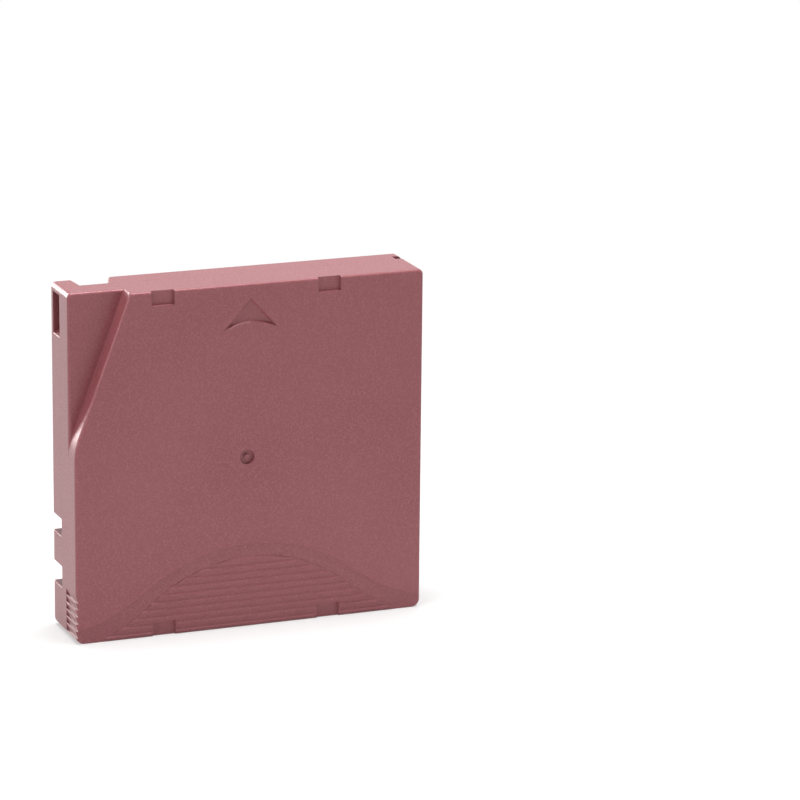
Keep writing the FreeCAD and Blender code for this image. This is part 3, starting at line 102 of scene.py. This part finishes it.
class Shader:
    """A node material that is built up step by step."""

    def __init__(self, name):
        self.material = bpy.data.materials.new(name)
        self.material.use_nodes = True
        self.nodes = self.material.node_tree.nodes
        self.links = self.material.node_tree.links
        self.surface = self.nodes["Principled BSDF"]
        self.place = self.node("ShaderNodeTexCoord").outputs["Object"]

    def node(self, kind, **values):
        made = self.nodes.new(kind)
        for key, value in values.items():
            if hasattr(made, key):
                setattr(made, key, value)
            else:
                made.inputs[key.replace("_", " ")].default_value = value
        return made

    def join(self, output, target):
        self.links.new(output, target)

    def set(self, **values):
        for key, value in values.items():
            self.surface.inputs[key.replace("_", " ")].default_value = value

    def noise(self, scale, detail=4.0, stretch=None):
        """Noise from 0 to 1; scale is its grain per metre."""
        place = self.place
        if stretch:
            mapping = self.node("ShaderNodeMapping")
            mapping.inputs["Scale"].default_value = stretch
            self.join(place, mapping.inputs["Vector"])
            place = mapping.outputs["Vector"]
        made = self.node("ShaderNodeTexNoise", Scale=scale, Detail=detail)
        self.join(place, made.inputs["Vector"])
        return made.outputs["Fac"]

    def span(self, value, low, high, out_low, out_high):
        limits = {"From_Min": low, "From_Max": high, "To_Min": out_low, "To_Max": out_high}
        made = self.node("ShaderNodeMapRange", **limits)
        self.join(value, made.inputs["Value"])
        return made.outputs["Result"]

    def mix(self, share, first, second):
        made = self.node("ShaderNodeMix", data_type="RGBA")
        for value, index in ((share, 0), (first, 6), (second, 7)):
            if isinstance(value, (float, int, tuple)):
                made.inputs[index].default_value = value
            else:
                self.join(value, made.inputs[index])
        return made.outputs[2]

    def bump(self, *layers, edge=None):
        """Each layer is (height output, strength, distance in metres).

        edge is the radius over which real corners are softened.
        """
        normal = None
        if edge:
            normal = self.node("ShaderNodeBevel", samples=8, Radius=edge).outputs["Normal"]
        for height, strength, distance in layers:
            made = self.node("ShaderNodeBump", Strength=strength, Distance=distance)
            self.join(height, made.inputs["Height"])
            if normal is not None:
                self.join(normal, made.inputs["Normal"])
            normal = made.outputs["Normal"]
        self.join(normal, self.surface.inputs["Normal"])

    def colour(self, output):
        self.join(output, self.surface.inputs["Base Color"])

    def roughness(self, output):
        self.join(output, self.surface.inputs["Roughness"])


SOFT_EDGE = 0.0003


def moulded(name, tone, dark, light, rough, metallic=0.0):
    """Moulded plastic: a fine erosion grain, darker and lighter specks and faint flow marks."""
    shader = Shader(name)
    specks = shader.noise(5200.0, 2.0)
    flecks = shader.noise(2100.0, 3.0)
    cloud = shader.noise(28.0, 3.0)
    base = shader.mix(shader.span(specks, 0.36, 0.62, 0.0, 1.0), dark, tone)
    base = shader.mix(shader.span(flecks, 0.48, 0.72, 0.0, 0.4), base, light)
    base = shader.mix(shader.span(cloud, 0.3, 0.7, 0.0, 0.12), base, light)
    shader.colour(base)
    shader.roughness(shader.span(shader.noise(1500.0, 3.0), 0.3, 0.7, rough - 0.05, rough + 0.08))
    shader.set(Metallic=metallic)
    waves = shader.noise(90.0, 2.0)
    shader.bump((specks, 0.25, 0.00006), (waves, 0.06, 0.0003), edge=SOFT_EDGE)
    return shader.material


def metal(name, tone, rough, brushed=(1.0, 1.0, 1.0)):
    """Bare metal with drawing or rolling marks; brushed stretches them along one way."""
    shader = Shader(name)
    lines = shader.noise(900.0, 5.0, brushed)
    stains = shader.noise(220.0, 3.0)
    shade = tuple(c * 0.78 for c in tone[:3]) + (1.0,)
    shader.colour(shader.mix(shader.span(stains, 0.35, 0.7, 0.0, 1.0), tone, shade))
    shader.roughness(shader.span(lines, 0.3, 0.7, rough, rough + 0.14))
    shader.set(Metallic=1.0)
    shader.bump((lines, 0.15, 0.00003))
    return shader.material


REEL_CENTRE = (-0.0011, 0.0, 0.051)


def film(name):
    """Edges of the wound tape: fine rings about the reel and slightly proud turns."""
    shader = Shader(name)
    wave = shader.node("ShaderNodeTexWave", Scale=1400.0, Distortion=0.6, Detail=2.0)
    wave.wave_type = "RINGS"
    wave.rings_direction = "Y"
    mapping = shader.node("ShaderNodeMapping")
    mapping.inputs["Location"].default_value = [-c for c in REEL_CENTRE]
    shader.join(shader.place, mapping.inputs["Vector"])
    shader.join(mapping.outputs["Vector"], wave.inputs["Vector"])
    bands = shader.noise(120.0, 2.0)
    dark, pale = srgb(38, 29, 26), srgb(66, 54, 49)
    shader.colour(shader.mix(shader.span(bands, 0.35, 0.7, 0.0, 0.7), dark, pale))
    shader.roughness(shader.span(wave.outputs["Fac"], 0.0, 1.0, 0.22, 0.4))
    shader.bump((wave.outputs["Fac"], 0.2, 0.00004))
    return shader.material


def tones(*colours):
    """The plain tone, the darker one and the lighter one of a plastic."""
    return [srgb(*colour) for colour in colours]


ROSE = tones((150, 84, 89), (132, 68, 73), (174, 112, 116))
DARK_ROSE = tones((84, 44, 47), (66, 32, 35), (112, 66, 68))
PALE = tones((226, 214, 212), (206, 194, 192), (240, 232, 230))
WHITE = tones((232, 230, 225), (214, 211, 205), (244, 243, 240))
BRAKE_GREY = tones((206, 206, 204), (188, 188, 186), (222, 222, 220))
IVORY = tones((226, 222, 212), (206, 202, 192), (238, 236, 230))
BLACK = tones((30, 30, 32), (20, 20, 22), (46, 46, 48))
GREEN = tones((26, 78, 44), (18, 60, 34), (40, 104, 60))
RESIN_BLACK = tones((16, 16, 18), (10, 10, 12), (30, 30, 33))
FINISHES = {
    "shell_plastic": moulded("rose_pearl_plastic", *ROSE, 0.34, metallic=0.1),
    "door_plastic": moulded("dark_rose_plastic", *DARK_ROSE, 0.4),
    "slider_plastic": moulded("pale_plastic", *PALE, 0.38),
    "reel_plastic": moulded("white_plastic", *WHITE, 0.34),
    "brake_plastic": moulded("brake_plastic", *BRAKE_GREY, 0.44),
    "clutch_plastic": moulded("clutch_plastic", *IVORY, 0.42),
    "clamp_plastic": moulded("black_plastic", *BLACK, 0.42),
    "board_laminate": moulded("green_laminate", *GREEN, 0.3),
    "chip_resin": moulded("black_resin", *RESIN_BLACK, 0.35),
    "tape_film": film("tape_film"),
    "plate_steel": metal("stamped_steel", srgb(172, 172, 175), 0.3, (1.0, 1.0, 14.0)),
    "pin_steel": metal("polished_steel", srgb(206, 206, 208), 0.1, (1.0, 30.0, 1.0)),
    "spring_steel": metal("spring_wire", srgb(164, 164, 168), 0.22),
    "screw_steel": metal("zinc_plate", srgb(176, 178, 182), 0.28),
}


def dress(obj, slot):
    obj.data.materials.clear()
    obj.data.materials.append(FINISHES[slot])


def smooth_by_angle(obj, degrees=28.0):
    """Shades round faces smooth and keeps real corners sharp."""
    limit = math.radians(degrees)
    mesh = bmesh.new()
    mesh.from_mesh(obj.data)
    for face in mesh.faces:
        face.smooth = True
    for edge in mesh.edges:
        edge.smooth = len(edge.link_faces) == 2 and edge.calc_face_angle(0.0) < limit
    mesh.to_mesh(obj.data)
    mesh.free()


for entry in frame["record"]["subparts"]:
    dress(frame["nodes"][entry["node"]], entry["material_slot"])


# ---- round-wire springs in place of the frame's square ones ------------------------------------


def coil(name, start, axis, length, radius, wire, turns, dead=0.75):
    """A closed-and-ground coil spring: its ends lie flat, and the turns between them are open."""
    axis = Vector(axis).normalized()
    across = Vector((1, 0, 0)) if abs(axis.x) < 0.9 else Vector((0, 0, 1))
    other = axis.cross(across)
    steps, sides = int(turns * 36), 10
    share = min(dead / turns, 0.4)

    def rise(at):
        flat = wire * dead / (2 * length)
        if at < share:
            return flat * at / share
        if at > 1 - share:
            return 1 - flat * (1 - at) / share
        return flat + (1 - 2 * flat) * (at - share) / (1 - 2 * share)

    mesh = bmesh.new()
    rings = []
    for step in range(steps + 1):
        at = step / steps
        angle = 2 * math.pi * turns * at
        outward = across * math.cos(angle) + other * math.sin(angle)
        centre = Vector(start) + outward * radius + axis * (length * rise(at))
        ring = []
        for side in range(sides):
            turned = 2 * math.pi * side / sides
            aside = outward * math.cos(turned) + axis * math.sin(turned)
            ring.append(mesh.verts.new(centre + aside * wire / 2))
        rings.append(ring)
    for first, second in zip(rings, rings[1:]):
        for side in range(sides):
            after = (side + 1) % sides
            mesh.faces.new((first[side], first[after], second[after], second[side]))
    mesh.faces.new(rings[0][::-1])
    mesh.faces.new(rings[-1])
    bmesh.ops.recalc_face_normals(mesh, faces=mesh.faces)
    data = bpy.data.meshes.new(name)
    mesh.to_mesh(data)
    mesh.free()
    obj = bpy.data.objects.new(name, data)
    scene.collection.objects.link(obj)
    dress(obj, "spring_steel")
    smooth_by_angle(obj, 50.0)
    return obj


def spring_like(node, along, radius, wire, turns, fixed):
    """Stands for a spring node: same ends and round wire."""
    low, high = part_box(node)
    length = high[along] - low[along] - wire
    start = list(fixed)
    start[along] = low[along] + wire / 2
    axis = [0, 0, 0]
    axis[along] = 1
    wound = coil(node + "_wire", start, axis, length, radius, wire, turns)
    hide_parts(node)
    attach(wound, "case")
    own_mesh(wound)


spring_like("door_spring", along=2, radius=0.00115, wire=0.0004, turns=15,
            fixed=(0.04865, 0.0, 0.038))
spring_like("brake_spring", along=1, radius=0.0083, wire=0.0009, turns=3.5,
            fixed=(-0.0011, -0.00875, 0.051))


# ---- pan-head screws with a cross recess, in place of the frame's plain ones --------------------

# x and z of each screw; each one is turned on by the same angle
SCREW_PLACES = ((-0.0428, 0.0892), (0.0375, 0.0964), (-0.0445, 0.0105), (0.0455, 0.0153))
SCREW_TURN = 0.7
SCREW_PROFILE = [  # radius and level of the head, the shank and the blunt tip
    (0, 0), (0.0016, -0.00002), (0.0021, -0.00012), (0.00244, -0.00036), (0.00258, -0.00075),
    (0.00258, -0.0018), (0.00123, -0.0018), (0.00123, -0.0112), (0.0007, -0.0118), (0, -0.0118),
]


def turned_mesh(profile, sides):
    """A closed mesh turned about the Y axis from (radius, y) corners that start and end on it."""
    mesh = bmesh.new()
    rings = []
    for radius, level in profile:
        if radius == 0:
            rings.append([mesh.verts.new((0, level, 0))] * sides)
            continue
        ring = []
        for side in range(sides):
            angle = 2 * math.pi * side / sides
            ring.append(mesh.verts.new((radius * math.cos(angle), level, radius * math.sin(angle))))
        rings.append(ring)
    for first, second in zip(rings, rings[1:]):
        for side in range(sides):
            after = (side + 1) % sides
            corners = [first[side], first[after], second[after], second[side]]
            mesh.faces.new(list(dict.fromkeys(corners)))
    bmesh.ops.recalc_face_normals(mesh, faces=mesh.faces)
    return mesh


def cross_cutter(name, half, thin, top, floor, taper):
    """A plus-shaped prism that narrows towards its floor."""
    corners = [(half, thin), (thin, thin), (thin, half), (-thin, half), (-thin, thin), (-half, thin)]
    corners += [(-across, -up) for across, up in corners]
    mesh = bmesh.new()
    high = [mesh.verts.new((x, top, z)) for x, z in corners]
    low = [mesh.verts.new((x * taper, floor, z * taper)) for x, z in corners]
    for index in range(len(corners)):
        after = (index + 1) % len(corners)
        mesh.faces.new((high[index], high[after], low[after], low[index]))
    mesh.faces.new(high)
    mesh.faces.new(low)
    bmesh.ops.recalc_face_normals(mesh, faces=mesh.faces)
    data = bpy.data.meshes.new(name)
    mesh.to_mesh(data)
    mesh.free()
    return bpy.data.objects.new(name, data)


def pan_screw_mesh():
    """Head, cross recess, shank and a blunt tip; the head's top lies at y = 0."""
    mesh = turned_mesh(SCREW_PROFILE, 40)
    data = bpy.data.meshes.new("pan_screw")
    mesh.to_mesh(data)
    mesh.free()
    blank = bpy.data.objects.new("pan_screw", data)
    cutter = cross_cutter(
        "cross_cutter", half=0.0013, thin=0.00026, top=0.0003, floor=-0.0011, taper=0.62)
    for obj in (blank, cutter):
        scene.collection.objects.link(obj)
    recess = blank.modifiers.new("recess", "BOOLEAN")
    recess.object, recess.operation, recess.solver = cutter, "DIFFERENCE", "EXACT"
    graph = bpy.context.evaluated_depsgraph_get()
    ready = bpy.data.meshes.new_from_object(blank.evaluated_get(graph))
    for obj in (blank, cutter):
        bpy.data.objects.remove(obj)
    return ready


def add_screws():
    head_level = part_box("case_screws")[1][1]
    screw = pan_screw_mesh()
    for number, (x, z) in enumerate(SCREW_PLACES, start=1):
        obj = bpy.data.objects.new(f"pan_screw_{number}", screw.copy())
        turned = Matrix.Rotation(SCREW_TURN * number, 4, "Y")
        obj.matrix_world = Matrix.Translation((x, head_level, z)) @ turned
        scene.collection.objects.link(obj)
        dress(obj, "screw_steel")
        smooth_by_angle(obj, 35.0)
        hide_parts("case_screws")
        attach(obj, "case")


add_screws()


# ---- floor, white surroundings and lamps -------------------------------------------------------


def rays_seen(nodes, links):
    """1 for what the camera, a mirror or a clear piece sees, and 0 for light that falls on things."""
    rays = nodes.new("ShaderNodeLightPath")
    total = rays.outputs["Is Camera Ray"]
    for kind in ("Is Glossy Ray", "Is Transmission Ray"):
        both = nodes.new("ShaderNodeMath")
        both.operation, both.use_clamp = "ADD", True
        links.new(total, both.inputs[0])
        links.new(rays.outputs[kind], both.inputs[1])
        total = both.outputs[0]
    return total


def add_floor():
    """Pale floor that keeps the shadow beside the object and runs out to white."""
    bpy.ops.mesh.primitive_plane_add(size=60.0, location=(0, 0, 0))
    floor = bpy.context.object
    floor.name = "floor"
    shader = Shader("floor_white")
    shader.set(Base_Color=(0.93, 0.93, 0.93, 1.0), Roughness=0.9)
    nodes, links = shader.nodes, shader.links
    distance = shader.node("ShaderNodeVectorMath", operation="LENGTH")
    shader.join(shader.place, distance.inputs[0])
    far = shader.span(distance.outputs["Value"], 0.1, 0.5, 0.45, 1.0)
    share = shader.node("ShaderNodeMath", operation="MULTIPLY")
    shader.join(far, share.inputs[0])
    shader.join(rays_seen(nodes, links), share.inputs[1])
    white = shader.node("ShaderNodeEmission", Strength=1.0)
    mixed = shader.node("ShaderNodeMixShader")
    shader.join(share.outputs[0], mixed.inputs[0])
    shader.join(shader.surface.outputs[0], mixed.inputs[1])
    shader.join(white.outputs[0], mixed.inputs[2])
    shader.join(mixed.outputs[0], nodes["Material Output"].inputs["Surface"])
    floor.data.materials.append(shader.material)


LAMP_AIM = (0, 0, 0.05)


def add_lamp(name, place, across, up, power, shine_only=False):
    """A soft rectangular lamp that the camera doesn't see; a shine-only one lights no matt surface."""
    data = bpy.data.lights.new(name, "AREA")
    data.shape = "RECTANGLE"
    data.size, data.size_y, data.energy = across, up, power
    lamp = bpy.data.objects.new(name, data)
    lamp.location = place
    lamp.rotation_euler = (Vector(LAMP_AIM) - Vector(place)).to_track_quat("-Z", "Y").to_euler()
    lamp.visible_camera = False
    lamp.visible_diffuse = not shine_only
    scene.collection.objects.link(lamp)


def white_world():
    world = bpy.data.worlds.new("surroundings")
    scene.world = world
    world.use_nodes = True
    nodes, links = world.node_tree.nodes, world.node_tree.links
    nodes.clear()
    output = nodes.new("ShaderNodeOutputWorld")
    seen, around, mixed = (nodes.new(kind) for kind in (
        "ShaderNodeBackground", "ShaderNodeBackground", "ShaderNodeMixShader"))
    seen.inputs["Color"].default_value = (1, 1, 1, 1)
    around.inputs["Color"].default_value = (1, 1, 1, 1)
    around.inputs["Strength"].default_value = 0.15
    links.new(rays_seen(nodes, links), mixed.inputs["Fac"])
    links.new(around.outputs[0], mixed.inputs[1])
    links.new(seen.outputs[0], mixed.inputs[2])
    links.new(mixed.outputs[0], output.inputs["Surface"])


add_floor()
white_world()
add_lamp("top_softbox", (0, 0, 0.95), 0.5, 0.5, 11.5)
add_lamp("left_rim", (-0.45, 0.88, 0.26), 0.6, 0.5, 11.0, shine_only=True)
add_lamp("left_fill", (-0.9, -0.3, 0.35), 0.6, 0.5, 1.9)
add_lamp("right_fill", (0.75, -0.6, 0.3), 0.5, 0.5, 0.8)
add_lamp("back_fill", (0.85, 0.35, 0.35), 0.5, 0.5, 0.8)

scene.view_settings.view_transform = "Standard"
